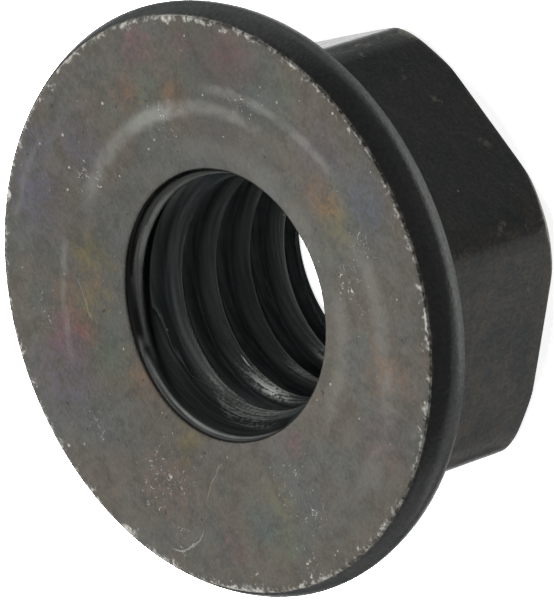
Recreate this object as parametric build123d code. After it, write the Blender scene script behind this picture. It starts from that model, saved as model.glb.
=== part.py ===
from build123d import *
import os
from math import cos, radians, tan

# Hexagon flange nut, 5/16-18 UNC, one cold-formed and tapped piece of steel.
# Millimetres. The nut stands on its hexagon end, centred on the origin. +Z runs along
# the thread towards the bearing face, and two of the six flats face +Y and -Y.

# Hexagon
height = 7.15               # hexagon end to bearing face
across_flats = 12.48        # spanner size
corner_radius = 1.25        # rounding of the six upright corners
chamfer_margin = 0.26       # the end chamfer begins this far outside the flats' own circle
chamfer_angle = 42.0        # fall of the end chamfer, degrees

# Flange
flange_overhang = 2.38      # the rim's widest ring stands this far outside the flats
rim_thickness = 1.37        # bearing face to the rim's back edge
widest_depth = 0.62         # bearing face to the rim's widest ring
face_inset = 0.285          # the bearing face ends this far inside the widest ring
back_inset = 0.23           # the back edge, before its rounding, lies this far inside the widest ring
back_edge_radius = 0.25     # rounding of the back edge
back_slope = 20.0           # rise of the flange's conical back towards the hexagon, degrees

# Thread, given as the smooth bore at its crests
thread_major = 7.94         # root diameter of the internal thread
thread_depth = 0.605        # radial, root to crest
lead_in_slope = 20.3        # lead-in cone from the bearing face down to the crests, degrees from the axis
end_sink = 0.28             # countersink in the hexagon end, radial and deep

# Worked out from the sizes above
flat_radius = across_flats / 2
corner_distance = flat_radius / cos(radians(30))
rim_radius = flat_radius + flange_overhang
face_radius = rim_radius - face_inset
back_radius = rim_radius - back_inset
mouth_radius = thread_major / 2
crest_radius = mouth_radius - thread_depth
chamfer_radius = flat_radius + chamfer_margin
widest_z = height - widest_depth
back_z = height - rim_thickness
lead_in_length = thread_depth / tan(radians(lead_in_slope))


def ring(points):
    """Solid of revolution about the thread's axis, from (radius, height) corners."""
    return revolve(make_face(Polyline(*[(r, 0, z) for r, z in points], close=True)), Axis.Z)


def hexagon():
    """Upright hexagon with rounded corners, chamfered at the end it stands on."""
    outline = RegularPolygon(corner_distance, 6)
    outline = fillet(outline.vertices(), corner_radius)
    prism = extrude(outline, height)
    fall = (corner_distance - chamfer_radius) * tan(radians(chamfer_angle))
    envelope = ring([
        (0, 0),
        (chamfer_radius, 0),
        (corner_distance, fall),
        (corner_distance, height),
        (0, height),
    ])
    return prism & envelope


def flange():
    """Round flange: flat bearing face, barrelled rim, small rounded back edge, conical back."""
    inner_back_z = back_z - (back_radius - flat_radius) * tan(radians(back_slope))
    widest = (rim_radius, 0, widest_z)
    face_edge = (face_radius, 0, height)
    back_edge = (back_radius, 0, back_z)
    outline = [
        TangentArc(widest, face_edge, tangent=(0, 0, 1)),
        TangentArc(widest, back_edge, tangent=(0, 0, -1)),
        Polyline(back_edge, (flat_radius, 0, inner_back_z), (0, 0, inner_back_z), (0, 0, height), face_edge),
    ]
    body = revolve(make_face(outline), Axis.Z)
    back_ring = body.edges().filter_by(GeomType.CIRCLE).sort_by(lambda edge: abs(edge.radius - back_radius))[0]
    return fillet(back_ring, back_edge_radius)


def thread_bore():
    """Everything bored out: lead-in, bore at the crests and countersink in the hexagon end."""
    return ring([
        (0, 0),
        (crest_radius + end_sink, 0),
        (crest_radius, end_sink),
        (crest_radius, height - lead_in_length),
        (mouth_radius, height),
        (0, height),
    ])


flange_nut = hexagon() + flange() - thread_bore()
os.makedirs("parts", exist_ok=True)
export_step(flange_nut, "parts/flange_nut.step")
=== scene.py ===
import math
import bmesh
import bpy
import numpy as np
from mathutils import Matrix, Vector


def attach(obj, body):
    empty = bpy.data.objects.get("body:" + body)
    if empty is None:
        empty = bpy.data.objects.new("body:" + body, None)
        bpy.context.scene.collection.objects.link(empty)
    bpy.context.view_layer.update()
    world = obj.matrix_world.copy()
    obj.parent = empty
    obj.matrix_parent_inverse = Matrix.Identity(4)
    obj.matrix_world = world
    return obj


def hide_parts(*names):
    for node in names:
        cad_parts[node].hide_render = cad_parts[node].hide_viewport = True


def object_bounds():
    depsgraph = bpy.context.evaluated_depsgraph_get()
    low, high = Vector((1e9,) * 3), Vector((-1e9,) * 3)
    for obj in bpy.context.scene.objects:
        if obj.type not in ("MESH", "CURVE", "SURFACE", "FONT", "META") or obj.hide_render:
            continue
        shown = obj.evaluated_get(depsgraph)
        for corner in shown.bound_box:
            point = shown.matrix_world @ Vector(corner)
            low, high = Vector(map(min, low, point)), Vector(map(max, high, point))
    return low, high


# Hexagon flange nut with its thread, standing on the hexagon end.
# Lengths in the dictionaries are millimetres, angles are degrees, and the meshes are in metres.
# Depths are measured down from the bearing face.

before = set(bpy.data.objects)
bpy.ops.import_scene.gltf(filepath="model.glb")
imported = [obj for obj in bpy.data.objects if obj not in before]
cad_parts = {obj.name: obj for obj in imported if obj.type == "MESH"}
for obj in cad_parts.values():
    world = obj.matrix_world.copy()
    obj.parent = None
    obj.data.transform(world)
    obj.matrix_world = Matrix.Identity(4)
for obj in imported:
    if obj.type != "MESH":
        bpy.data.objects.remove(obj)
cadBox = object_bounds()
mm = 0.001
rad = math.radians


def inMm(box):
    return [round(v / mm, 3) for v in (*box[0], *box[1])]


def smoothMax(a, b, k):
    # the larger of a and b, with the crease rounded over a width k
    return (a + b + np.sqrt((a - b) ** 2 + k * k)) / 2


def smoothStep(low, high, x):
    # 0 below low, 1 above high, and u*u*(3 - 2u) between them
    u = np.clip((x - low) / (high - low), 0, 1)
    return u * u * (3 - 2 * u)


def window(riseFrom, riseTo, fallFrom, fallTo, x):
    # up from 0 to 1 by a smooth step, and down again by another
    return smoothStep(riseFrom, riseTo, x) * (1 - smoothStep(fallFrom, fallTo, x))


def bell(x, width):
    # exp(-(x / width) squared)
    return np.exp(-(x / width) ** 2)


print("frame loaded, CAD box", inMm(cadBox))

nut = {
    "height": cadBox[1][2] / mm,
    "rimRadius": 8.62,       # widest ring of the flange
    "faceRadius": 8.335,     # edge of the bearing face
    "faceRound": 0.07,       # worn rounding of that edge
    "faceFall": 0.7,         # how far it falls, as a share of its width
    "widestDepth": 0.62,     # bearing face to the widest ring
    "rimPower": 1.6,         # how fast the rim swells below the face's edge
    "backDepth": 1.37,       # bearing face to the rim's back edge
    "backRadius": 8.39,
    "backRound": 0.25,       # rounding between the rim and the conical back
    "backRoundRows": 9,
    "backGap": (0.03, 6.0),  # drop and turn to that rounding's first row
    "backSlope": 20.0,
    "footRound": 0.3,        # fillet where the back meets the hexagon
    "footDip": 0.3,          # how much lower it ends, as a share of its radius
    "flatRadius": 6.24,      # half the width across flats
    "cornerRadius": 1.25,
    "chamferRadius": 6.50,
    "chamferAngle": 42.0,
    "chamferBlend": 0.05,    # softness of the chamfer's inner edge
    "endRound": 0.10,        # rounding where the sides meet the end
    "dish": 0.235,           # hollow of the bearing face at the mouth
    "dishStart": 0.86,       # where it begins, as a share of the face's radius
    "dishPower": 1.3,
    "mouthDrop": 0.03,       # the mouth's edge lies this far below the hollow
    "columns": 440,          # steps round the axis, outside and in the bore
    "bunching": 0.4,         # gathers the steps at the hexagon's corners
    # the mesh's rows, as shares of each stretch or angles along each rounding
    "faceRows": [0.0, 0.012, 0.03, 0.06, 0.12, 0.2, 0.3, 0.4, 0.5, 0.6, 0.7, 0.8, 0.88, 0.94, 0.975, 1.0],
    "edgeRows": [0.35, 0.7, 1.0],
    "upperRimRows": [0.14, 0.24, 0.36, 0.5, 0.65, 0.8, 0.92],
    "lowerRimRows": [0.04, 0.14, 0.26, 0.4, 0.54, 0.68, 0.82, 0.93],
    "backRows": [0.25, 0.6, 0.85],
    "footTurns": [0, 20, 40, 60, 80],
    "sideRows": [0.06, 0.3, 0.6, 0.9, 0.97],
    "endTurns": [0, 15, 30, 45, 60, 75, 90],
    "endRows": [0.03, 0.1, 0.18, 0.26, 0.36, 0.5, 0.75, 0.97, 1.0],
}

thread = {
    "pitch": 1.4111,
    "rootRadius": 4.08,
    "crestRadius": 3.375,
    "crestWidth": 0.50,
    "crestRound": 0.16,      # how softly the flanks turn into the crests
    "rootRound": 0.40,
    "firstCrest": 1.974,     # depth of the first full crest's deep edge, at the angle startAngle
    "startAngle": 60.0,
    "offset": 0.25,          # the bore is this far off the flange's centre
    "offsetAngle": 233.27,
    "mouthRadius": 3.94,
    "mouthWaves": [(1, 0.079, 117.0), (2, 0.096, -163.9), (3, 0.025, -43.0), (4, 0.016, 73.7)],
    "lipSlope": 1.9,         # the mouth's broken edge, radius lost per depth
    "leadSlope": 0.37,       # the lead-in cone behind it
    "leadRadius": 4.0,       # the lead-in cone carried up to the face's level
    "leadShare": 0.5,        # the cone follows this much of the mouth's waves
    "leadRound": 0.05,       # softness of the edges between lip, lead-in and thread
    "firstRoot": 3.97,       # the first groove is shallower, with a flat bottom
    "firstRound": 0.06,
    "firstClear": 0.3,       # that bottom fades out to this far beyond the root
    "firstFade": (1.1, 1.7),     # depths between which it does
    # how much wider the first groove is: angle round the bore, shift
    "startShifts": [(-60, 0.0), (0, 0.12), (60, 0.25), (105, 0.42), (150, 0.42), (210, 0.0), (300, 0.0)],
    "startFade": (0.3, 1.3),     # depths between which the widening fades out
    "endSink": 0.28,         # countersink at the hexagon end
    "endRound": 0.03,
    "squeeze": 0.12,         # how softly the rows gather at the mouth
    "topRow": -4.5,          # rows above the mouth by more squeezes than this lie on it
    "lastRow": 0.02,         # rows lower than this height lie on the end
    # the mesh's rows, as distances past a crest's deep edge
    "rowPlaces": [-0.50, -0.455, -0.38, -0.25, -0.13, -0.06, -0.02, 0.02, 0.06, 0.12, 0.21, 0.29,
                  0.34, 0.39, 0.455, 0.52, 0.57, 0.62, 0.70, 0.79, 0.85, 0.88],
}


def hexRadius(angle):
    # distance from the axis to a hexagon with flats facing +Y and -Y and corners rounded by an arc:
    # flat / cos(u) beside a flat's middle, and the ray's far hit on the corner's circle near a corner
    u = np.abs((angle - rad(90) + rad(30)) % rad(60) - rad(30))
    flat, corner = nut["flatRadius"], nut["cornerRadius"]
    centre = (flat - corner) / math.cos(rad(30))
    turn = rad(30) - u
    onArc = centre * np.cos(turn) + np.sqrt(np.maximum(corner ** 2 - (centre * np.sin(turn)) ** 2, 0))
    return np.where(flat * np.tan(u) <= (flat - corner) * math.tan(rad(30)), flat / np.cos(u), onArc)


def faceHeight(radius):
    # flat outside and hollowed towards the mouth: height - dish span^power, where the span grows evenly
    # from 0 at the hollow's start to 1 at the mouth's mean radius, and stops at 1.2
    start = nut["faceRadius"] * nut["dishStart"]
    span = np.clip((start - radius) / (start - thread["mouthRadius"]), 0, 1.2)
    return nut["height"] - nut["dish"] * span ** nut["dishPower"]


def columnAngles():
    # even steps u, bunched at the hexagon's corners by angle = u - bunching sin(6u) / 6, clockwise seen
    # from above, and the share of a turn that each has gone
    even = rad(thread["startAngle"]) - np.arange(nut["columns"]) / nut["columns"] * 2 * math.pi
    angle = even - nut["bunching"] * np.sin(6 * even) / 6
    return angle, (rad(thread["startAngle"]) - angle) / (2 * math.pi)


def boreCentre():
    turn = rad(thread["offsetAngle"])
    return thread["offset"] * math.cos(turn), thread["offset"] * math.sin(turn)


def mouthRadius(angle):
    # the mouth is a little out of round: a mean radius plus a few waves round the circle
    waves = thread["mouthWaves"]
    return thread["mouthRadius"] + sum(size * np.cos(n * angle - rad(lag)) for n, size, lag in waves)


def mouthHeight(angle):
    # the bearing face's height at the mouth, less a small drop
    cx, cy = boreCentre()
    mouth = mouthRadius(angle)
    return faceHeight(np.hypot(cx + mouth * np.cos(angle), cy + mouth * np.sin(angle))) - nut["mouthDrop"]


def arcRows(centreR, centreZ, radius, start, end, count):
    # (radius, height) along a circular arc, angles in degrees above the horizontal
    turn = np.radians(np.linspace(start, end, count))
    return [(centreR + radius * math.cos(a), centreZ + radius * math.sin(a)) for a in turn]


def rimProfile():
    # (radius, height) pairs from the bearing face's edge down the rim. With v from 0 to 1 down each part,
    # the upper part is widest - bulge (1 - v)^power and the lower one is widest - (widest - back) v^2,
    # down to the rounded edge of the conical back
    top, widest, backR, roundR = nut["height"], nut["rimRadius"], nut["backRadius"], nut["backRound"]
    bulge, middle, low = widest - nut["faceRadius"], nut["widestDepth"], nut["backDepth"]
    fall = math.degrees(math.atan(2 * (widest - backR) / (low - middle)))
    lowest = low - roundR * math.sin(rad(fall))
    rows = []
    for v in nut["upperRimRows"]:
        rows.append((widest - bulge * (1 - v) ** nut["rimPower"], top - middle * v))
    for v in nut["lowerRimRows"]:
        depth = middle + (lowest - middle) * v
        rows.append((widest - (widest - backR) * ((depth - middle) / (low - middle)) ** 2, top - depth))
    lastR, lastZ = rows[-1]
    drop, turn = nut["backGap"]
    rows += arcRows(lastR - roundR * math.cos(rad(fall)), lastZ + roundR * math.sin(rad(fall)) - drop,
                    roundR, -fall - turn, -(90 + nut["backSlope"]), nut["backRoundRows"])
    return rows


def endHeight(radius):
    # 0 on the flat end, and rising by the chamfer's slope outside the chamfer's circle
    steep, soft = math.tan(rad(nut["chamferAngle"])), nut["chamferBlend"]
    rise = smoothMax(0, (radius - nut["chamferRadius"]) * steep, soft)
    return rise - smoothMax(0, -nut["chamferRadius"] * steep, soft)


def outerGrid():
    # every row is a ring of (radius, height) as functions of the angle; rows run from the mouth's edge
    # over the face, the rim, the conical back and the hexagon to the countersunk end
    angle = columnAngles()[0]
    across, along = np.cos(angle), np.sin(angle)
    ones = np.ones(len(angle))
    cx, cy = boreCentre()
    rows = []

    def addRing(radius, height):
        rows.append(np.stack([radius * ones * across, radius * ones * along, height * ones], axis=-1))

    # bearing face: from the eccentric mouth circle to the flange's own circle
    mouth = mouthRadius(angle)
    inner = nut["faceRadius"] - nut["faceRound"]
    for share in nut["faceRows"]:
        x = (cx + mouth * across) * (1 - share) + inner * across * share
        y = (cy + mouth * along) * (1 - share) + inner * along * share
        z = faceHeight(np.hypot(x, y)) - (nut["mouthDrop"] if share == 0.0 else 0.0)
        rows.append(np.stack([x, y, z], axis=-1))
    for part in nut["edgeRows"]:
        fall = nut["faceRound"] * nut["faceFall"] * part ** 2
        addRing(inner + nut["faceRound"] * part, nut["height"] - fall)
    faceCount = len(rows)
    for radius, height in rimProfile():
        addRing(radius, height)

    # conical back down to the hexagon, with a small fillet at the foot
    backR, backZ = rimProfile()[-1]
    hexagon = hexRadius(angle)
    slope = math.tan(rad(nut["backSlope"]))
    foot, dip = nut["footRound"], nut["footDip"]
    for share in nut["backRows"]:
        radius = backR + (hexagon + foot - backR) * share
        addRing(radius, backZ - (backR - radius) * slope)
    footZ = backZ - (backR - hexagon - foot) * slope
    for turn in nut["footTurns"]:
        low, near = 1 - math.cos(rad(turn)), math.sin(rad(turn))
        addRing(hexagon + foot * (1 - near), footZ - foot * low - foot * dip * near)

    # sides, the chamfered end and its face
    endZ = endHeight(hexagon)
    top = footZ - foot * (1 + dip)
    for share in nut["sideRows"]:
        addRing(hexagon, top + (endZ + nut["endRound"] - top) * share)
    for turn in nut["endTurns"]:
        radius = hexagon - nut["endRound"] * (1 - math.cos(rad(turn)))
        addRing(radius, endHeight(radius) + nut["endRound"] * (1 - math.sin(rad(turn))))
    sink = thread["crestRadius"] + thread["endSink"]
    last = hexagon - nut["endRound"]
    for share in nut["endRows"]:
        x = last * across * (1 - share) + (cx + sink * across) * share
        y = last * along * (1 - share) + (cy + sink * along) * share
        rows.append(np.stack([x, y, endHeight(np.hypot(x, y))], axis=-1))
    return np.array(rows), faceCount


def shiftedDepth(depth, angle):
    # the thread's first groove is wider on one side: depths near the mouth count as deeper than they are,
    # by shift (1 - smoothStep(depth)), with the shift read off the list of angles
    degrees = (np.degrees(angle) + 60) % 360 - 60
    shift = np.interp(degrees, *zip(*thread["startShifts"]))
    return depth + shift * (1 - smoothStep(*thread["startFade"], depth))


def firstGroove(radius, depth):
    # the smaller of a radius and the first groove's flat bottom, which fades out below it
    first = thread["firstRoot"]
    fade = smoothStep(*thread["firstFade"], depth)
    bottom = first + (thread["rootRadius"] + thread["firstClear"] - first) * fade
    return -smoothMax(-radius, -bottom, thread["firstRound"])


def threadRadius(phase):
    # 60 degree thread, where phase is the distance past a crest's deep edge: the radius climbs from the
    # crest by 1 / tan(30) beside the crest's flat, and stops at the root
    pitch, half = thread["pitch"], thread["crestWidth"] / 2
    away = np.abs((phase + half + pitch / 2) % pitch - pitch / 2) - half
    climb = smoothMax(0, away / math.tan(rad(30)), thread["crestRound"])
    depth = thread["rootRadius"] - thread["crestRadius"]
    return thread["crestRadius"] + depth - smoothMax(0, depth - climb, thread["rootRound"])


def leadInRadius(depth, mouth, mouthDepth):
    # the larger of a steep broken edge at the mouth and the lead-in cone behind it
    lip = mouth - thread["lipSlope"] * (depth - mouthDepth)
    wave = thread["leadShare"] * (mouth - thread["mouthRadius"])
    cone = thread["leadRadius"] + wave - thread["leadSlope"] * depth
    return smoothMax(lip, cone, thread["leadRound"])


def boreGrid():
    # rows follow the helix: depth = first + place + pitch * (turns + angle share), so that a row one
    # turn further on meets the same row at the seam. Near the mouth the rows are squeezed together by
    # depth = mouth + s ln(1 + exp((depth - mouth) / s)), and past the ends they collapse onto a ring
    angle, share = columnAngles()
    pitch, places = thread["pitch"], np.array(thread["rowPlaces"])
    cx, cy = boreCentre()
    mouth, mouthZ = mouthRadius(angle), mouthHeight(angle)
    mouthDepth = nut["height"] - mouthZ
    first = math.floor(-thread["firstCrest"] / pitch) - 2
    last = math.ceil((nut["height"] - thread["firstCrest"]) / pitch) + 1
    starts = ((first + np.arange(last - first)[:, None]) * pitch + places).ravel()
    starts = np.append(starts, last * pitch + places[0])
    depth = thread["firstCrest"] + starts[:, None] + pitch * share
    above = (depth - mouthDepth) / thread["squeeze"]
    depth = mouthDepth + thread["squeeze"] * np.logaddexp(0, above)
    phase = shiftedDepth(depth, angle) - thread["firstCrest"] - pitch * share
    height = nut["height"] - depth
    threaded = firstGroove(threadRadius(phase), depth)
    radius = smoothMax(threaded, leadInRadius(depth, mouth, mouthDepth), thread["leadRound"])
    endRadius = thread["crestRadius"] + thread["endSink"]
    radius = smoothMax(radius, endRadius - height, thread["endRound"])
    tooHigh, tooLow = above < thread["topRow"], height < thread["lastRow"]
    radius = np.where(tooHigh, mouth, np.where(tooLow, endRadius, radius))
    height = np.where(tooHigh, mouthZ, np.where(tooLow, 0.0, height))
    return np.stack([cx + radius * np.cos(angle), cy + radius * np.sin(angle), height], axis=-1)


def gridQuads(start, rows, columns, ahead=0):
    # corner numbers of a grid's quads. Columns wrap round, and past the last one the row moves ahead
    index = start + np.arange(rows * columns).reshape(rows, columns)
    beside = np.roll(index, -1, 1)
    beside[:, -1] = index[np.minimum(np.arange(rows) + ahead, rows - 1), 0]
    return np.stack([index[:-1], index[1:], beside[1:], beside[:-1]], axis=-1).reshape(-1, 4)


def addObject(name, data):
    # puts a mesh, a camera or a lamp into the scene
    item = bpy.data.objects.new(name, data)
    bpy.context.scene.collection.objects.link(item)
    return item


def makeMesh(name, points, quads, slots):
    # points in mm, and for each face four corner numbers and a material number
    mesh = bpy.data.meshes.new(name)
    mesh.from_pydata((points * mm).tolist(), [], quads.tolist())
    mesh.polygons.foreach_set("material_index", slots.astype(np.int32))
    return addObject(name, mesh)


def closeSeams(piece, distance):
    # welds the rows that collapsed onto the end circles, and turns the faces outwards
    work = bmesh.new()
    work.from_mesh(piece.data)
    bmesh.ops.remove_doubles(work, verts=work.verts, dist=distance)
    bmesh.ops.dissolve_degenerate(work, edges=work.edges, dist=distance)
    bmesh.ops.recalc_face_normals(work, faces=work.faces)
    for face in work.faces:
        face.smooth = True
    work.to_mesh(piece.data)
    work.free()


# Where the nut is worn, filmed over or torn. Angles go round the bore. Two numbers in brackets are the ends
# of a smooth step and four those of a window, past the crest's deep edge for a band, a leaf or land.
wear = {
    # bright edges
    "edgeWidth": 0.10,
    "faceInset": 0.03,       # the bright line's middle, inside the face's edge
    "endInset": 0.06,        # and inside the hexagon's
    "endSlope": 0.9,         # the chamfer's slope
    "endReach": 0.2,
    "cornerWidth": 0.5,
    "cornerShare": 0.55,     # brightness of the upright corners beside the other edges
    # painted sheen: a dull pale band along the crests, rising towards each deep edge
    "boreReach": 0.35,       # the bore's marks reach this far beyond the root
    "crestTop": (3.70, 3.80),    # radii
    "bandWidth": 0.62,
    "bandRise": 0.60,
    "bandPower": 1.5,
    "bandEnd": (0.03, 0.16),
    # how pale the painted sheen is at each depth, less deep in the bore
    "sheenTones": [(0.0, 0.3), (1.2, 1.0), (2.2, 0.95), (3.4, 0.42), (4.6, 0.07), (6.0, 0.22)],  # by depth
    # deeper down the whole crest is painted near black, a painted shade
    "deepShadeBand": (-1.0, -0.65, 0.03, 0.16),   # further down it covers the whole crest
    "deepShadeDepth": (2.1, 2.5),
    # painted highlights: a pale ring under the mouth on the left, and a pale line on the right along the
    # mouth's edge
    "mouthEnd": (0.80, 0.95),    # depths between which these end
    "leftSide": (-176, -130, 66, 84),
    "rightSide": (66, 84, 150, 176),
    "upperSide": (22, 26),   # angle and reach of the ring's widest part
    "ringPlace": 0.02,
    "ringWidths": (0.09, 0.30, 0.12),    # towards the mouth, more on the upper side, in the groove
    "ringHighlightTones": (0.62, 0.33, 0.3),      # all round, more on the upper side, more on the right
    "line": (0.10, 0.04),    # place below the mouth's edge, and width
    "lipGap": (0.10, 0.20),
    # dull film: on the left in the first groove, on the right over the lead-in as well; in the groove it
    # bears pale painted light
    "filmPast": (0.50, 0.56),
    "filmDepth": (1.2, 1.4),
    "filmRight": (56, 64, 150, 176),
    "filmDrop": 0.30,        # it ends this much lower beyond these angles
    "filmDropAt": (90, 106),
    "filmEnd": (1.13, 1.20),
    "filmTop": (0.02, 0.08),     # below the mouth's edge
    "filmRadius": (3.5, 3.7),
    "filmCover": 0.95,
    # pale painted light on the film in the groove
    "grooveLightTones": (0.08, 0.30),   # how pale, and how much more before these angles
    "grooveLightEnd": (50, 68),
    # the leaf, which is the lead-in's cut across the first crest
    "leafWidths": (0.30, 0.36),  # at first, and how much wider it grows
    "leafWiden": (96, 124),
    "leafEdge": (-0.05, 0.04, 0.02, 0.10),
    "leafAngles": (92, 99, 140, 165),
    "leafDepth": (2.0, 2.2),
    "leafPale": 0.35,
    # torn crests below it: angle, reach, and depths at which the upper one ends or the lower one starts
    "land": (-0.60, -0.45, 0.03, 0.12),
    "upperTear": (121, 14, (3.3, 3.8)),
    "lowerTear": (116, 10, (4.0, 4.4)),
    "burrs": (0.015, 0.11, 0.03),        # on the leaf, the upper tear and the lower tear
    # paler metal at the bottom of the grooves, a painted reflection, most of which the film hides
    "rootStart": (3.62, 3.84),
    "rootDepth": (0.5, 0.6),
    "rootFilm": 0.75,
    "rootFilmed": (0.0, 0.12),
}


def windFrom(points):
    # for each point in mm: its angle round the bore, distance from the bore's axis, depth, and the
    # distance past the nearest crest's deep edge, wrapped to half a pitch each way
    cx, cy = boreCentre()
    x, y = points[:, 0] - cx, points[:, 1] - cy
    depth = nut["height"] - points[:, 2]
    angle, pitch = np.arctan2(y, x), thread["pitch"]
    share = ((rad(thread["startAngle"]) - angle) / (2 * math.pi)) % 1
    phase = shiftedDepth(depth, angle) - thread["firstCrest"] - pitch * share
    return np.degrees(angle), np.hypot(x, y), depth, (phase + pitch / 2) % pitch - pitch / 2


def wornEdges(points):
    # a bell of the distance from the face's edge, from the hexagon's corners and from its end's edge
    x, y, z = points.T
    radius, angle = np.hypot(x, y), np.arctan2(y, x)
    depth = nut["height"] - z
    faceEdge = bell(radius - nut["faceRadius"] + wear["faceInset"], wear["edgeWidth"]) * (depth < 0.4)
    hexagon = hexRadius(angle)
    around = np.abs((angle - rad(60) + rad(30)) % rad(60) - rad(30)) * hexagon
    onSide = (np.abs(radius - hexagon) < 0.1) * (depth > nut["backDepth"])
    corner = bell(around, wear["cornerWidth"]) * onSide
    chamfer = np.maximum(0, (radius - nut["chamferRadius"]) * wear["endSlope"])
    endEdge = bell(radius - hexagon + wear["endInset"], wear["edgeWidth"])
    endEdge = endEdge * bell(z - chamfer, wear["endReach"])
    return np.clip(faceEdge + wear["cornerShare"] * corner + endEdge, 0, 1)


def mouthMarks(angle, radius, depth, past, inBore):
    # the gap is how far the lead-in stands out of the first groove, 0 on the edge between them. The ring is
    # a bell of the gap, the line one of the depth, and the film a product of smooth steps. The ring and the
    # line are painted highlights, and the film's pale tone in the groove is painted light
    turn = np.radians(angle)
    mouthDepth = nut["height"] - mouthHeight(turn)
    gap = leadInRadius(depth, mouthRadius(turn), mouthDepth) - firstGroove(threadRadius(past), depth)
    nearMouth = (1 - smoothStep(*wear["mouthEnd"], depth)) * inBore
    leftSide, rightSide = window(*wear["leftSide"], angle), window(*wear["rightSide"], angle)
    middle, reach = wear["upperSide"]
    upper = bell(angle - middle, reach)
    outside, swell, inside = wear["ringWidths"]
    width = np.where(gap > 0, outside + swell * upper, inside)
    ring = bell(gap - wear["ringPlace"], width) * nearMouth * (past > 0) * leftSide
    place, width = wear["line"]
    line = bell(depth - mouthDepth - place, width) * rightSide
    ring = np.maximum(ring, line * inBore)
    inGroove = gap < wear["ringPlace"]
    groove = inGroove * (past > 0) * (1 - smoothStep(*wear["filmPast"], past))
    groove = groove * (1 - smoothStep(*wear["filmDepth"], depth))
    low = depth - wear["filmDrop"] * smoothStep(*wear["filmDropAt"], angle)
    far = np.where(inGroove, window(*wear["filmRight"], angle), rightSide)
    far = far * (1 - smoothStep(*wear["filmEnd"], low))
    far = far * smoothStep(*wear["filmTop"], depth - mouthDepth) * smoothStep(*wear["filmRadius"], radius)
    film = np.clip(groove * leftSide + far, 0, 1) * inBore
    # pale painted light on the film in the groove, more before these angles
    tone, more = wear["grooveLightTones"]
    grooveLight = (tone + more * (1 - smoothStep(*wear["grooveLightEnd"], angle))) * groove * leftSide
    # the ring and the line are painted highlights, pale all round, more on the upper side and on the right
    tone, onUpper, onRight = wear["ringHighlightTones"]
    ringHighlightTone = (tone + onUpper * upper + onRight * rightSide) * ring
    return ring, film, ringHighlightTone, grooveLight, smoothStep(*wear["lipGap"], gap) * nearMouth


def tornCrests(angle, depth, past, onCrest):
    # the leaf, the torn patch below it, and how rough each is
    width, wider = wear["leafWidths"]
    width = width + wider * smoothStep(*wear["leafWiden"], angle)
    low, high, *far = wear["leafEdge"]
    below = smoothStep(*wear["leafDepth"], depth)
    leaf = window(low - width, high - width, *far, past) * onCrest
    leaf = leaf * window(*wear["leafAngles"], angle) * (1 - below)
    land = window(*wear["land"], past) * onCrest * below
    middle, reach, ends = wear["upperTear"]
    patch = land * bell(angle - middle, reach) * (1 - smoothStep(*ends, depth))
    middle, reach, starts = wear["lowerTear"]
    onLeaf, onPatch, lower = wear["burrs"]
    lower = lower * land * bell(angle - middle, reach) * smoothStep(*starts, depth)
    return leaf, patch, onLeaf * leaf + onPatch * patch + lower


def surfaceMarks(points):
    # "worn" is 1 on the edges that rub bright, "matte" where a dull film or torn metal hides the shine, and
    # where the deep crests get painted shade, "film" where that film lies in the first groove and on the
    # lead-in, "crest" where it is pale with painted sheen, painted highlights and painted light, "burr"
    # where the tap tore the crests, "lip" on the mouth's dark edge, and "root" at the grooves' bottom,
    # where a paler tone is a painted reflection
    angle, radius, depth, past = windFrom(points)
    inBore = radius < thread["rootRadius"] + wear["boreReach"]
    onCrest = (1 - smoothStep(*wear["crestTop"], radius)) * inBore
    # painted sheen: rises towards each crest's deep edge and stops just past it
    band = np.clip((past + wear["bandWidth"]) / wear["bandRise"], 0, 1) ** wear["bandPower"]
    band = band * (1 - smoothStep(*wear["bandEnd"], past)) * onCrest
    tones = np.interp(depth, *zip(*wear["sheenTones"]))
    # the whole crest, painted near black deeper down as painted shade
    deepShade = window(*wear["deepShadeBand"], past) * onCrest
    ring, film, ringHighlightTone, grooveLight, lip = mouthMarks(angle, radius, depth, past, inBore)
    leaf, patch, burr = tornCrests(angle, depth, past, onCrest)
    matte = np.maximum(band, deepShade * smoothStep(*wear["deepShadeDepth"], depth))
    matte = np.clip(matte + ring + wear["filmCover"] * film, 0, 1)
    # pale tone from the painted sheen, the painted highlights and the painted light in the groove
    crest = np.clip(band * tones + ringHighlightTone + grooveLight, 0, 1)
    # paler metal at the grooves' bottom, a painted reflection
    root = smoothStep(*wear["rootStart"], radius) * smoothStep(*wear["rootDepth"], depth) * inBore
    return {
        "worn": np.where(inBore, 0, wornEdges(points)),
        "matte": np.maximum(matte, np.maximum(leaf, patch)),
        "crest": crest * (1 - wear["leafPale"] * leaf),
        "burr": burr,
        "lip": lip,
        "root": root * (1 - wear["rootFilm"] * smoothStep(*wear["rootFilmed"], film)),
        "film": film,
    }


def setMarks(piece):
    # writes the marks as attributes, which the materials read
    points = np.empty(len(piece.data.vertices) * 3, np.float32)
    piece.data.vertices.foreach_get("co", points)
    for name, values in surfaceMarks(points.reshape(-1, 3).astype(float) / mm).items():
        mark = piece.data.attributes.new(name, "FLOAT", "POINT")
        mark.data.foreach_set("value", values.astype(np.float32))


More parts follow.
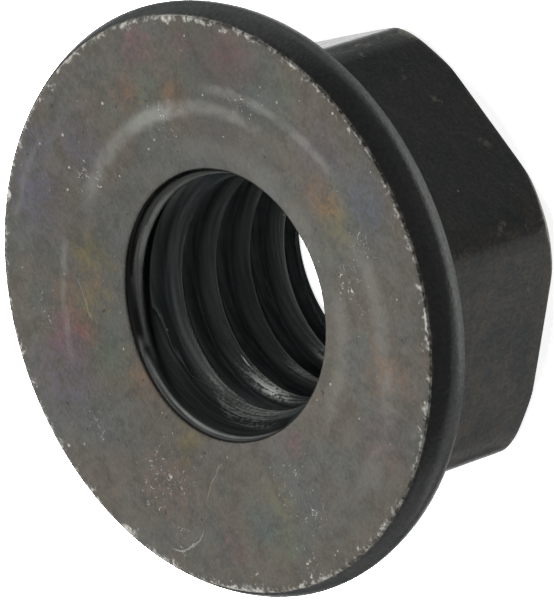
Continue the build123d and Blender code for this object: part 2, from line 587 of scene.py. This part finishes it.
outer, faceCount = outerGrid()
bore = boreGrid()
quads = np.vstack([
    gridQuads(0, *outer.shape[:2]),
    gridQuads(outer.shape[0] * outer.shape[1], *bore.shape[:2], ahead=len(thread["rowPlaces"]))[:, ::-1],
])
points = np.vstack([outer.reshape(-1, 3), bore.reshape(-1, 3)])
slots = np.full(len(quads), 1)  # 0 is the bearing face, 1 the rim and hexagon, 2 the bore
slots[:(faceCount - 1) * nut["columns"]] = 0
slots[(outer.shape[0] - 1) * nut["columns"]:] = 2
flangeNut = makeMesh("flange_nut_finished", points, quads, slots)
closeSeams(flangeNut, 0.0005 * mm)
setMarks(flangeNut)
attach(flangeNut, "root")
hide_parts("flange_nut")
triangles = sum(len(p.vertices) - 2 for p in flangeNut.data.polygons)
print("nut built,", triangles, "triangles")


def put(tree, kind, fields=None, **inputs):
    # adds a node: fields are its settings, and an input is a number, a colour or another node's output
    node = tree.nodes.new("ShaderNode" + kind)
    for field, value in (fields or {}).items():
        setattr(node, field, value)
    for key, value in inputs.items():
        socket = node.inputs[int(key[1:])] if key[1:].isdigit() else node.inputs[key]
        if isinstance(value, bpy.types.NodeSocket):
            tree.links.new(value, socket)
        else:
            socket.default_value = value
    return node


def calc(tree, operation, a, b=0.0, c=0.0, clamp=False):
    return put(tree, "Math", {"operation": operation, "use_clamp": clamp}, i0=a, i1=b, i2=c).outputs[0]


def weighted(tree, first, *rest):
    # the sum of each value times its weight
    total = calc(tree, "MULTIPLY", *first)
    for value, weight in rest:
        total = calc(tree, "MULTIPLY_ADD", value, weight, total)
    return total


def vectorCalc(tree, operation, a, b=(0, 0, 0)):
    # a vector, or the number that some operations give
    node = put(tree, "VectorMath", {"operation": operation}, i0=a, i1=b)
    return node.outputs["Value" if operation in ("DISTANCE", "DOT_PRODUCT", "LENGTH") else "Vector"]


def scaled(tree, vector, factor):
    return put(tree, "VectorMath", {"operation": "SCALE"}, i0=vector, Scale=factor).outputs["Vector"]


def ease(tree, value, low, high, toLow=0.0, toHigh=1.0):
    # toLow below low, toHigh above high, and a smooth step between
    fields = {"interpolation_type": "SMOOTHSTEP"}
    return put(tree, "MapRange", fields, Value=value, i1=low, i2=high, i3=toLow, i4=toHigh).outputs[0]


def grain(tree, place, scale, detail=4.0, rough=0.55, twist=0.0, output="Fac"):
    # cloudy noise, about 0.5 on average
    return put(tree, "TexNoise", None, Vector=place, Scale=scale, Detail=detail, Roughness=rough,
               Distortion=twist).outputs[output]


def blend(tree, factor, a, b, mode="MIX"):
    # a and b are colours or another node's output
    a, b = [(*colour, 1) if isinstance(colour, tuple) else colour for colour in (a, b)]
    return put(tree, "Mix", {"data_type": "RGBA", "blend_type": mode}, i0=factor, i6=a, i7=b).outputs[2]


def toned(tree, colour, tone):
    # the colour times the tone
    grey = put(tree, "CombineColor", None, i0=tone, i1=tone, i2=tone).outputs[0]
    return blend(tree, 1.0, colour, grey, "MULTIPLY")


def specks(tree, place, scale, size, chance):
    # dots at random points, as large as size in cell widths, kept in a share of the cells
    cells = put(tree, "TexVoronoi", None, Vector=place, Scale=scale)
    lucky = put(tree, "SeparateColor", None, Color=cells.outputs["Color"]).outputs[0]
    reach = calc(tree, "SUBTRACT", size, calc(tree, "MULTIPLY", lucky, size / chance))
    return ease(tree, calc(tree, "SUBTRACT", reach, cells.outputs["Distance"]), -0.01, 0.05)


def spotAt(tree, place, x, y, radius):
    # 1 at the middle of a spot on the bearing face, 0 from the radius outwards
    away = vectorCalc(tree, "DISTANCE", place, (x, y, nut["height"]))
    return ease(tree, away, radius, radius * 0.15)


def arcAt(tree, place, x, y, radius, width, middle, reach):
    # a band of a circle about (x, y), fading out at the distance reach from its middle point
    away = vectorCalc(tree, "DISTANCE", place, (x, y, nut["height"]))
    off = calc(tree, "ABSOLUTE", calc(tree, "SUBTRACT", away, radius))
    turn = rad(middle)
    part = spotAt(tree, place, x + radius * math.cos(turn), y + radius * math.sin(turn), reach)
    return calc(tree, "MULTIPLY", ease(tree, off, width, width * 0.1), ease(tree, part, 0, 0.5))


def arcsAt(tree, place, marks):
    # the sum of several bands times their strengths
    total = 0.0
    for *band, strength in marks:
        total = calc(tree, "MULTIPLY_ADD", arcAt(tree, place, *band), strength, total)
    return total


def lineAt(tree, place, a, b, width):
    # 1 along the straight line from a to b and 0 at the distance width from it:
    # the distance from a + (b - a) t, with t = (p - a).(b - a) / |b - a| squared kept between 0 and 1
    span = [v - u for u, v in zip(a, b)]
    long = sum(v * v for v in span)
    toPoint = vectorCalc(tree, "SUBTRACT", place, a)
    share = vectorCalc(tree, "DOT_PRODUCT", toPoint, [v / long for v in span])
    share = calc(tree, "MULTIPLY", share, 1.0, clamp=True)
    away = vectorCalc(tree, "DISTANCE", toPoint, scaled(tree, span, share))
    return ease(tree, away, width, width * 0.2)


def placeInMm(tree):
    return scaled(tree, put(tree, "TexCoord").outputs["Object"], 1 / mm)


def fromAxis(tree, place):
    # distance from the nut's axis
    return vectorCalc(tree, "LENGTH", vectorCalc(tree, "MULTIPLY", place, (1, 1, 0)))


def jitter(tree, place, scale, amount, detail=2.0):
    # a place moved by a soft random vector, which breaks up neat outlines
    soft = grain(tree, place, scale, detail, output="Color")
    centred = vectorCalc(tree, "SUBTRACT", soft, (0.5, 0.5, 0.5))
    return vectorCalc(tree, "ADD", place, scaled(tree, centred, amount))


def swung(tree, value, amount, base):
    # base + (value - 0.5) * amount
    return calc(tree, "MULTIPLY_ADD", calc(tree, "SUBTRACT", value, 0.5), amount, base)


def markOf(tree, name):
    return put(tree, "Attribute", {"attribute_name": name}).outputs["Fac"]


def startMaterial(name, metallic, specular, edge=1.0):
    material = bpy.data.materials.new(name)
    material.use_nodes = True
    tree = material.node_tree
    shader = tree.nodes["Principled BSDF"]
    shader.inputs["Metallic"].default_value = metallic
    shader.inputs["Specular IOR Level"].default_value = specular
    shader.inputs["Specular Tint"].default_value = (edge, edge, edge, 1)
    return material, tree, shader


def finishMaterial(tree, shader, look, colour, roughness, height):
    # joins the colour, the roughness and a bump to the shader
    tree.links.new(colour, shader.inputs["Base Color"])
    tree.links.new(roughness, shader.inputs["Roughness"])
    bump = put(tree, "Bump", None, Strength=look["bump"], Distance=look["bumpHeight"] * mm, Height=height)
    tree.links.new(bump.outputs[0], shader.inputs["Normal"])


bearingFace = {
    "grey": (0.150, 0.153, 0.142),
    "brown": (0.166, 0.149, 0.127),
    "pale": (0.30, 0.30, 0.275),
    "dark": (0.075, 0.075, 0.072),
    "scuff": (0.50, 0.49, 0.45),
    "bare": (0.74, 0.72, 0.67),
    "edgeTint": 0.6,
    "roughness": (0.40, 0.54),
    "rubbedGloss": -0.06,    # what rubbing adds to the roughness
    "bump": 0.55,
    "bumpHeight": 0.035,
    # noise: blotches for each mm, layers, share that each layer keeps, distortion
    "broad": (0.42, 4, 0.6),
    "middle": (1.3, 6, 0.60, 0.5),
    "patches": (2.6, 3, 0.6, 0.8),
    "fine": (9.0, 3, 0.6),
    "flakes": (7.0, 4, 0.75, 0.8),
    "tones": (0.72, 1.28),   # the mottling's darkest and lightest
    # specks: cells for each mm, size in cell widths, share of the cells
    "dust": (2.6, 0.16, 0.16),
    "grit": (5.0, 0.17, 0.12),
    "pits": (3.1, 0.18, 0.22),
    "scuffedFrom": (8.20, 8.40),     # radii between which the edge is scuffed, and worn bare
    "bareFrom": (8.36, 8.52),
    "tintStrength": 0.7,
    "hues": {
        "rose": (0.26, 0.115, 0.14), "orange": (0.30, 0.15, 0.08), "yellow": (0.25, 0.21, 0.07),
        "green": (0.13, 0.19, 0.11), "teal": (0.09, 0.17, 0.17), "violet": (0.15, 0.125, 0.22),
        "blue": (0.10, 0.13, 0.23), "shade": (0.105, 0.104, 0.098),
    },
    # oil and heat tints, and spots of painted shade where the hue is shade: x, y, radius, hue, strength
    "tints": [
        (4.3, -5.5, 1.9, "shade", 0.85), (3.1, -3.7, 1.2, "shade", 0.85), (5.5, -5.1, 1.4, "shade", 0.55),
        (3.0, 5.3, 0.95, "rose", 0.75), (2.7, 4.7, 0.8, "orange", 0.6), (3.8, 4.5, 0.7, "orange", 0.4),
        (3.5, 3.4, 0.7, "orange", 0.4), (3.9, 2.8, 0.9, "yellow", 0.7), (3.0, 3.8, 0.8, "yellow", 0.4),
        (2.3, 6.3, 1.6, "violet", 0.45), (4.2, 5.4, 0.8, "teal", 0.35), (6.4, 3.2, 1.3, "violet", 0.55),
        (7.6, 2.0, 0.9, "blue", 0.5), (6.3, 0.6, 1.1, "violet", 0.35), (6.2, -1.9, 0.8, "orange", 0.45),
        (5.6, -2.7, 0.8, "green", 0.4), (5.0, -3.5, 0.8, "orange", 0.5), (5.4, -4.2, 0.7, "green", 0.4),
        (6.7, -3.5, 0.8, "rose", 0.5), (5.7, -4.6, 0.6, "rose", 0.35), (4.3, -6.1, 1.1, "rose", 0.4),
        (2.8, -5.5, 0.9, "teal", 0.4), (-1.3, -5.7, 1.1, "yellow", 0.5), (-0.6, -5.7, 0.8, "orange", 0.5),
        (-1.7, -7.1, 1.1, "blue", 0.35), (0.4, -6.9, 1.2, "violet", 0.3), (-5.4, -4.0, 1.2, "orange", 0.5),
        (-6.6, -2.4, 1.1, "rose", 0.3), (-4.5, 0.8, 0.6, "rose", 0.45), (-5.3, 3.4, 1.0, "teal", 0.5),
        (-6.4, 3.0, 0.8, "green", 0.4), (-5.3, 2.4, 0.9, "yellow", 0.35), (-2.0, 4.1, 0.7, "yellow", 0.45),
        (0.6, 4.0, 0.9, "orange", 0.4), (1.3, 4.6, 1.1, "green", 0.4), (-2.6, 5.5, 1.7, "orange", 0.3),
        (-5.4, 4.8, 0.6, "rose", 0.4), (-3.9, -1.9, 0.9, "green", 0.25), (2.6, -6.9, 0.9, "green", 0.3),
    ],
    # rubbed bands: x, y, radius, half width, angle of the middle, reach, strength
    "rubs": [
        (0.0, -0.3, 5.5, 0.38, -5, 3.4, 0.60), (0.0, -0.3, 5.5, 0.34, -38, 3.4, 0.58),
        (-0.6, 0.3, 6.95, 0.24, -66, 3.4, 0.55), (-1.9, -0.9, 8.0, 0.20, 44, 2.6, 0.40),
        (-0.6, 0.2, 6.5, 0.5, 205, 3.0, 0.20), (-0.8, -0.2, 5.8, 0.45, 235, 3.0, 0.35),
        (0.0, 0.0, 4.5, 0.55, -70, 4.0, 0.20), (-0.2, 0.0, 4.7, 0.45, 215, 2.6, 0.28),
        (0.5, 0.8, 7.0, 0.16, 20, 2.0, 0.25),
    ],
    # fine scratches, in the same form
    "scratches": [
        (-3.1, 5.9, 1.15, 0.035, 165, 1.0, 0.6), (4.0, -3.0, 5.2, 0.03, 190, 0.7, 0.3),
        (-9.0, 2.0, 6.0, 0.03, 20, 0.9, 0.3), (6.0, 10.0, 6.5, 0.03, 245, 0.8, 0.3),
    ],
    # patches of pale scuffing: x, y, radius
    "scuffs": [
        (-2.3, 5.4, 1.9), (-3.9, 6.2, 1.1), (0.4, 6.5, 1.1), (-3.0, -4.6, 1.4), (-2.4, -5.9, 1.1),
        (3.0, -5.4, 1.3), (5.5, 1.2, 1.4), (-5.3, 1.7, 1.6), (4.0, 5.5, 1.0), (-6.5, 1.4, 1.0),
        (4.6, -2.5, 1.2), (-6.6, 5.0, 1.6), (-7.4, 2.6, 1.3),
    ],
}


def makeBearingFace(look):
    material, tree, shader = startMaterial("bearingFace", 1.0, 0.5, look["edgeTint"])
    place = placeInMm(tree)
    loose = jitter(tree, jitter(tree, place, 0.9, 1.4, 3.0), 3.2, 0.5)
    bent = jitter(tree, place, 2.5, 0.22)
    middle = grain(tree, jitter(tree, place, 0.5, 2.0), *look["middle"])
    broad, patches, fine = [grain(tree, place, *look[name]) for name in ("broad", "patches", "fine")]
    colour = blend(tree, ease(tree, broad, 0.35, 0.65), look["grey"], look["brown"])
    broken = ease(tree, patches, 0.36, 0.60, 0.25, 1.0)
    # oil and heat tints, and the spots of painted shade
    for x, y, radius, hue, strength in look["tints"]:
        spot = spotAt(tree, loose, x, y, radius * 1.2)
        factor = calc(tree, "MULTIPLY", spot, strength * look["tintStrength"])
        colour = blend(tree, calc(tree, "MULTIPLY", factor, broken), colour, look["hues"][hue])
    # mottling and grain
    tone = weighted(tree, (middle, 0.9), (patches, 0.35), (fine, 0.35))
    colour = toned(tree, colour, ease(tree, tone, 0.55, 1.05, *look["tones"]))
    worked = ease(tree, middle, 0.30, 0.60, 0.35, 1.0)
    rubbed = calc(tree, "MULTIPLY", arcsAt(tree, bent, look["rubs"]), worked, clamp=True)
    colour = blend(tree, rubbed, colour, look["pale"])
    # pale scuffs in clusters, thin scratches and scattered dust
    cluster = 0.0
    for x, y, radius in look["scuffs"]:
        cluster = calc(tree, "MAXIMUM", spotAt(tree, loose, x, y, radius), cluster)
    flakes = calc(tree, "MULTIPLY_ADD", cluster, 0.12, grain(tree, place, *look["flakes"]))
    flakes = calc(tree, "MULTIPLY", ease(tree, flakes, 0.70, 0.77), ease(tree, cluster, 0.02, 0.3))
    bright = calc(tree, "MAXIMUM", flakes, arcsAt(tree, bent, look["scratches"]))
    grit = specks(tree, jitter(tree, place, 9.0, 0.12), *look["grit"])
    bright = calc(tree, "MAXIMUM", bright, calc(tree, "MAXIMUM", specks(tree, place, *look["dust"]), grit))
    # the edge has lost its finish along a ragged line
    ragged = swung(tree, fine, 0.6, swung(tree, patches, 1.1, fromAxis(tree, place)))
    bright = calc(tree, "MAXIMUM", bright, ease(tree, ragged, *look["scuffedFrom"]), clamp=True)
    colour = blend(tree, bright, colour, look["scuff"])
    bare = ease(tree, ragged, *look["bareFrom"])
    bare = calc(tree, "MAXIMUM", bare, calc(tree, "MULTIPLY", flakes, 0.45))
    colour = blend(tree, bare, colour, look["bare"])
    pits = specks(tree, jitter(tree, place, 6.0, 0.2), *look["pits"])
    colour = blend(tree, calc(tree, "MULTIPLY", pits, 0.6), colour, look["dark"])
    rough = ease(tree, middle, 0.3, 0.7, *look["roughness"])
    rough = calc(tree, "MULTIPLY_ADD", rubbed, look["rubbedGloss"], rough)
    height = weighted(tree, (middle, 0.8), (fine, 0.6), (bright, 0.25), (pits, -0.5))
    finishMaterial(tree, shader, look, colour, rough, height)
    return material


blackFinish = {
    "base": (0.094, 0.098, 0.096),
    "brown": (0.122, 0.113, 0.101),
    "dark": (0.074, 0.081, 0.084),
    "worn": (0.34, 0.32, 0.28),
    "edgeTint": 0.35,
    "roughness": (0.17, 0.23),
    "bump": 0.5,
    "bumpHeight": 0.03,
    # noise and specks, in the same form as the bearing face's
    "broad": (0.5, 4, 0.6),
    "middle": (2.2, 5, 0.62, 0.3),
    "fine": (9.0, 4, 0.65),
    "dust": (2.2, 0.15, 0.14),
    "tones": (0.86, 1.16),
    "brownFlat": 210.0,      # the side that the heat turned brown
    "brownFrom": (1.1, 0.3),     # it fades in between these distances inside that flat
    "brownTo": (8.0, 7.4),       # and out between these radii, before the rim
    # rubbed spots on the flats: place, radius, strength
    "nicks": [
        (1.14, -6.24, 1.42, 0.16, 0.55), (1.02, -6.24, 1.30, 0.10, 0.6), (-0.70, -6.24, 0.74, 0.20, 0.4),
        (-0.52, -6.24, 0.86, 0.13, 0.4), (-1.61, -6.24, 1.54, 0.10, 0.4), (-3.15, -6.2, 2.10, 0.16, 0.45),
        (-3.25, -6.2, 2.30, 0.18, 0.40), (-3.42, -6.15, 2.42, 0.12, 0.35), (2.04, -6.24, 1.92, 0.14, 0.3),
        (3.13, -6.21, 2.79, 0.13, 0.5), (-4.50, -4.69, 0.97, 0.07, 0.9), (-4.62, -4.55, 1.02, 0.12, 0.3),
        (0.3, -6.24, 2.6, 0.12, 0.25), (-2.1, -6.24, 0.9, 0.10, 0.3),
    ],
}


def makeBlackFinish(look):
    material, tree, shader = startMaterial("blackFinish", 1.0, 0.5, look["edgeTint"])
    place = placeInMm(tree)
    broad, middle, fine = [grain(tree, place, *look[name]) for name in ("broad", "middle", "fine")]
    # brown on one side of the hexagon
    turn, (start, full) = rad(look["brownFlat"]), look["brownFrom"]
    side = vectorCalc(tree, "DOT_PRODUCT", place, (math.cos(turn), math.sin(turn), 0))
    side = ease(tree, side, nut["flatRadius"] - start, nut["flatRadius"] - full, 0.2, 1.0)
    side = calc(tree, "MULTIPLY", side, ease(tree, fromAxis(tree, place), *look["brownTo"], 0.15, 1.0))
    brown = calc(tree, "MULTIPLY", side, ease(tree, middle, 0.35, 0.68))
    colour = blend(tree, brown, look["base"], look["brown"])
    colour = blend(tree, ease(tree, broad, 0.50, 0.30, 0.0, 0.6), colour, look["dark"])
    colour = toned(tree, colour, ease(tree, fine, 0.3, 0.7, *look["tones"]))
    # worn edges, dust and nicks
    ragged = swung(tree, fine, 0.9, swung(tree, middle, 1.2, markOf(tree, "worn")))
    rubbed = ease(tree, ragged, 0.55, 1.15, 0.0, 0.6)
    rubbed = calc(tree, "MAXIMUM", rubbed, specks(tree, place, *look["dust"]))
    near = jitter(tree, place, 9.0, 0.42, 4.0)
    for *spot, size, strength in look["nicks"]:
        away = vectorCalc(tree, "DISTANCE", near, spot)
        rubbed = calc(tree, "MAXIMUM", rubbed, ease(tree, away, size * 0.9, size * 0.25, 0.0, strength))
    colour = blend(tree, rubbed, colour, look["worn"])
    height = weighted(tree, (middle, 0.9), (fine, 0.6))
    finishMaterial(tree, shader, look, colour, ease(tree, middle, 0.3, 0.7, *look["roughness"]), height)
    return material


oiledThread = {
    "base": (0.054, 0.058, 0.057),
    "stain": (0.048, 0.060, 0.064),
    "violet": (0.066, 0.055, 0.070),
    # paler at the bottom of the grooves, a painted reflection
    "root": (0.115, 0.126, 0.123),
    "lip": (0.060, 0.063, 0.060),
    # near black: the dull film, and the painted shade on the deep crests
    "oxideAndShade": (0.0045, 0.005, 0.005),     # the dull film
    # the pale tone of the painted sheen, the painted highlights and the painted light in the groove
    "crest": (0.035, 0.0365, 0.0345),    # the same where it is pale
    "burr": (0.62, 0.63, 0.60),
    "edgeTint": 0.5,
    "roughness": (0.30, 0.42),
    "bump": 0.5,
    "bumpHeight": 0.02,
    # noise and specks, in the same form as the bearing face's
    "broad": (0.8, 3, 0.5),
    "middle": (2.5, 5, 0.6, 0.3),
    "fine": (10.0, 4, 0.65),
    "second": (1.1, 3, 0.5),
    "lines": (1.0, 3, 0.6),
    "dust": (2.6, 0.12, 0.12),
    "dustStrength": 0.08,
    "tones": (0.76, 1.30),
    "elsewhere": (31, 7, 13),    # a step to another part of the noise
    "stretch": (0.5, 0.5, 13.0),     # fine lines along the wall, 13 for each mm of depth
    # scratches on the wall: angle, depth and radius at both ends, half width, strength
    "scratches": [
        (66, 1.25, 3.90, 85, 1.08, 3.92, 0.035, 0.5), (88, 3.05, 3.42, 106, 2.98, 3.40, 0.05, 0.5),
        (95, 3.35, 3.60, 118, 3.22, 3.62, 0.03, 0.35), (100, 3.72, 3.9, 122, 3.60, 3.9, 0.03, 0.3),
    ],
    # crumbs on the wall: angle, depth and radius, size
    "crumbs": [
        (101, 0.95, 3.97, 0.07), (104, 0.86, 3.95, 0.05), (108, 0.88, 3.93, 0.06), (112, 0.80, 3.92, 0.04),
        (98, 0.72, 3.80, 0.05), (44, 1.05, 4.0, 0.04), (48, 0.98, 4.0, 0.035),
    ],
}


def onWall(angle, depth, radius):
    # the point at an angle, a depth and a radius about the bore's axis
    cx, cy = boreCentre()
    return cx + radius * math.cos(rad(angle)), cy + radius * math.sin(rad(angle)), nut["height"] - depth


def makeOiledThread(look):
    material, tree, shader = startMaterial("oiledThread", 1.0, 0.03, look["edgeTint"])
    place = placeInMm(tree)
    broad, middle, fine = [grain(tree, place, *look[name]) for name in ("broad", "middle", "fine")]
    second = grain(tree, vectorCalc(tree, "ADD", place, look["elsewhere"]), *look["second"])
    lines = grain(tree, vectorCalc(tree, "MULTIPLY", place, look["stretch"]), *look["lines"])
    colour = blend(tree, ease(tree, broad, 0.40, 0.60), look["base"], look["stain"])
    colour = blend(tree, ease(tree, second, 0.55, 0.70, 0.0, 0.7), colour, look["violet"])
    # paler at the bottom of the grooves, a painted reflection
    colour = blend(tree, markOf(tree, "root"), colour, look["root"])
    colour = blend(tree, markOf(tree, "lip"), colour, look["lip"])
    # the film, the painted shade on the deep crests, the pale parts, which are painted sheen, highlights
    # and light, and the torn crests
    matte = markOf(tree, "matte")
    filmed = ease(tree, markOf(tree, "film"), 0.0, 0.42)
    covered = calc(tree, "MAXIMUM", ease(tree, matte, 0.0, 0.92), filmed)
    colour = blend(tree, covered, colour, look["oxideAndShade"])
    crest = calc(tree, "MULTIPLY", markOf(tree, "crest"), ease(tree, middle, 0.25, 0.6, 0.7, 1.0))
    colour = blend(tree, crest, colour, look["crest"])
    crumbly = weighted(tree, (lines, 0.8), (fine, 1.2))
    torn = ease(tree, crumbly, 0.92, 1.10, 0.12, 1.6)
    torn = calc(tree, "MULTIPLY", markOf(tree, "burr"), torn, clamp=True)
    colour = blend(tree, torn, colour, look["burr"])
    # dust, scratches and crumbs
    dust = calc(tree, "MULTIPLY", specks(tree, place, *look["dust"]), look["dustStrength"])
    near = jitter(tree, place, 5.0, 0.05)
    for *ends, width, strength in look["scratches"]:
        line = lineAt(tree, near, onWall(*ends[:3]), onWall(*ends[3:]), width)
        dust = calc(tree, "MAXIMUM", calc(tree, "MULTIPLY", line, strength), dust)
    for *spot, size in look["crumbs"]:
        away = vectorCalc(tree, "DISTANCE", near, onWall(*spot))
        dust = calc(tree, "MAXIMUM", ease(tree, away, size, size * 0.5), dust)
    colour = toned(tree, colour, ease(tree, lines, 0.35, 0.65, *look["tones"]))
    colour = blend(tree, dust, colour, look["burr"])
    # no shine of metal where the surface is dull
    dull = calc(tree, "MAXIMUM", matte, calc(tree, "MAXIMUM", torn, dust))
    tree.links.new(calc(tree, "MULTIPLY_ADD", dull, -0.9, 1.0), shader.inputs["Metallic"])
    rough = calc(tree, "MULTIPLY_ADD", torn, 0.25, ease(tree, middle, 0.3, 0.7, *look["roughness"]))
    crumbled = calc(tree, "MULTIPLY", torn, crumbly)
    height = weighted(tree, (middle, 0.6), (fine, 0.35), (lines, 0.35), (crumbled, 1.5))
    finishMaterial(tree, shader, look, colour, rough, height)
    return material


for material in (makeBearingFace(bearingFace), makeBlackFinish(blackFinish), makeOiledThread(oiledThread)):
    flangeNut.data.materials.append(material)
print("materials made")

stage = {
    "floorSize": 600.0,
    "floorTone": 0.92,
    "floorRoughness": 0.9,
    "floorGlow": 0.85,       # its own light, which keeps the shadow faint
    "panelSize": 500.0,      # one soft light high above, which doesn't show in the metal
    "panelHeight": 700.0,
    "panelPower": 42.0,
    "ambient": 0.145,
    # soft lobes: azimuth, elevation, inner and outer angle, radiance
    "lobes": [
        (66, -44, 10, 85, 0.65), (66, -44, 8, 30, 0.4), (40, -44, 36, 39, 0.22), (174, -44, 28, 32, 0.25),
        (66, 44, 12, 50, 0.76), (66, -5, 15, 75, 0.2), (20, -12, 30, 75, 0.35), (125, -12, 25, 60, 0.3),
        (0, -90, 14, 34, 1.3), (-100, -44, 10, 60, 0.05),
    ],
}

cameraSet = {
    "aim": (-0.882, -0.954, 5.857),
    "azimuth": -113.944,
    "elevation": 43.562,
    "roll": -108.227,
    "distance": 224.8,
    "lensPixels": 8000.0,    # focal length in pixels of the taller side
    "tallPixels": 600.0,
    "sensor": 36.0,
    "clip": (0.01, 10.0),    # metres
}


def direction(azimuth, elevation):
    # unit vector, with the azimuth counted from +X
    turn, rise = rad(azimuth), rad(elevation)
    return Vector((math.cos(rise) * math.cos(turn), math.cos(rise) * math.sin(turn), math.sin(rise)))


def placeCamera():
    # looks at the aim from a distance, rolled about its own axis
    back = direction(cameraSet["azimuth"], cameraSet["elevation"])
    data = bpy.data.cameras.new("viewCamera")
    data.sensor_width = cameraSet["sensor"]
    data.sensor_fit = "AUTO"
    data.lens = cameraSet["sensor"] * cameraSet["lensPixels"] / cameraSet["tallPixels"]
    data.clip_start, data.clip_end = cameraSet["clip"]
    camera = addObject("viewCamera", data)
    look = (-back).to_track_quat("-Z", "Y").to_matrix()
    camera.matrix_world = (
        Matrix.Translation(Vector(cameraSet["aim"]) * mm + back * cameraSet["distance"] * mm)
        @ (look @ Matrix.Rotation(rad(cameraSet["roll"]), 3, "Z")).to_4x4()
    )
    bpy.context.scene.camera = camera


def makeFloor():
    # a square at height 0
    size = stage["floorSize"] * mm / 2
    corners = [(-size, -size, 0), (size, -size, 0), (size, size, 0), (-size, size, 0)]
    mesh = bpy.data.meshes.new("floor")
    mesh.from_pydata(corners, [], [(0, 1, 2, 3)])
    floor = addObject("floor", mesh)
    floor.visible_glossy = False
    material, tree, shader = startMaterial("floorPaint", 0.0, 0.0)
    tone = stage["floorTone"]
    shader.inputs["Base Color"].default_value = (tone, tone, tone, 1)
    shader.inputs["Roughness"].default_value = stage["floorRoughness"]
    shader.inputs["Emission Color"].default_value = (1, 1, 1, 1)
    shader.inputs["Emission Strength"].default_value = stage["floorGlow"]
    mesh.materials.append(material)


def makeLight():
    # the world is an ambient tone and a few soft lobes
    world = bpy.data.worlds.new("studio")
    world.use_nodes = True
    tree = world.node_tree
    toward = put(tree, "TexCoord").outputs["Generated"]
    total = stage["ambient"]
    for azimuth, elevation, inner, outside, radiance in stage["lobes"]:
        near = vectorCalc(tree, "DOT_PRODUCT", toward, direction(azimuth, elevation))
        lobe = ease(tree, near, math.cos(rad(outside)), math.cos(rad(inner)), 0.0, radiance)
        total = calc(tree, "ADD", total, lobe)
    background = tree.nodes["Background"]
    background.inputs["Color"].default_value = (1, 1, 1, 1)
    tree.links.new(total, background.inputs["Strength"])
    bpy.context.scene.world = world
    panel = bpy.data.lights.new("softPanel", "AREA")
    panel.shape = "DISK"
    panel.size = stage["panelSize"] * mm
    panel.energy = stage["panelPower"]
    lamp = addObject("softPanel", panel)
    lamp.location = (0, 0, stage["panelHeight"] * mm)
    lamp.visible_glossy = False


placeCamera()
makeFloor()
makeLight()
bpy.context.scene.view_settings.view_transform = "Standard"
print("stage set")
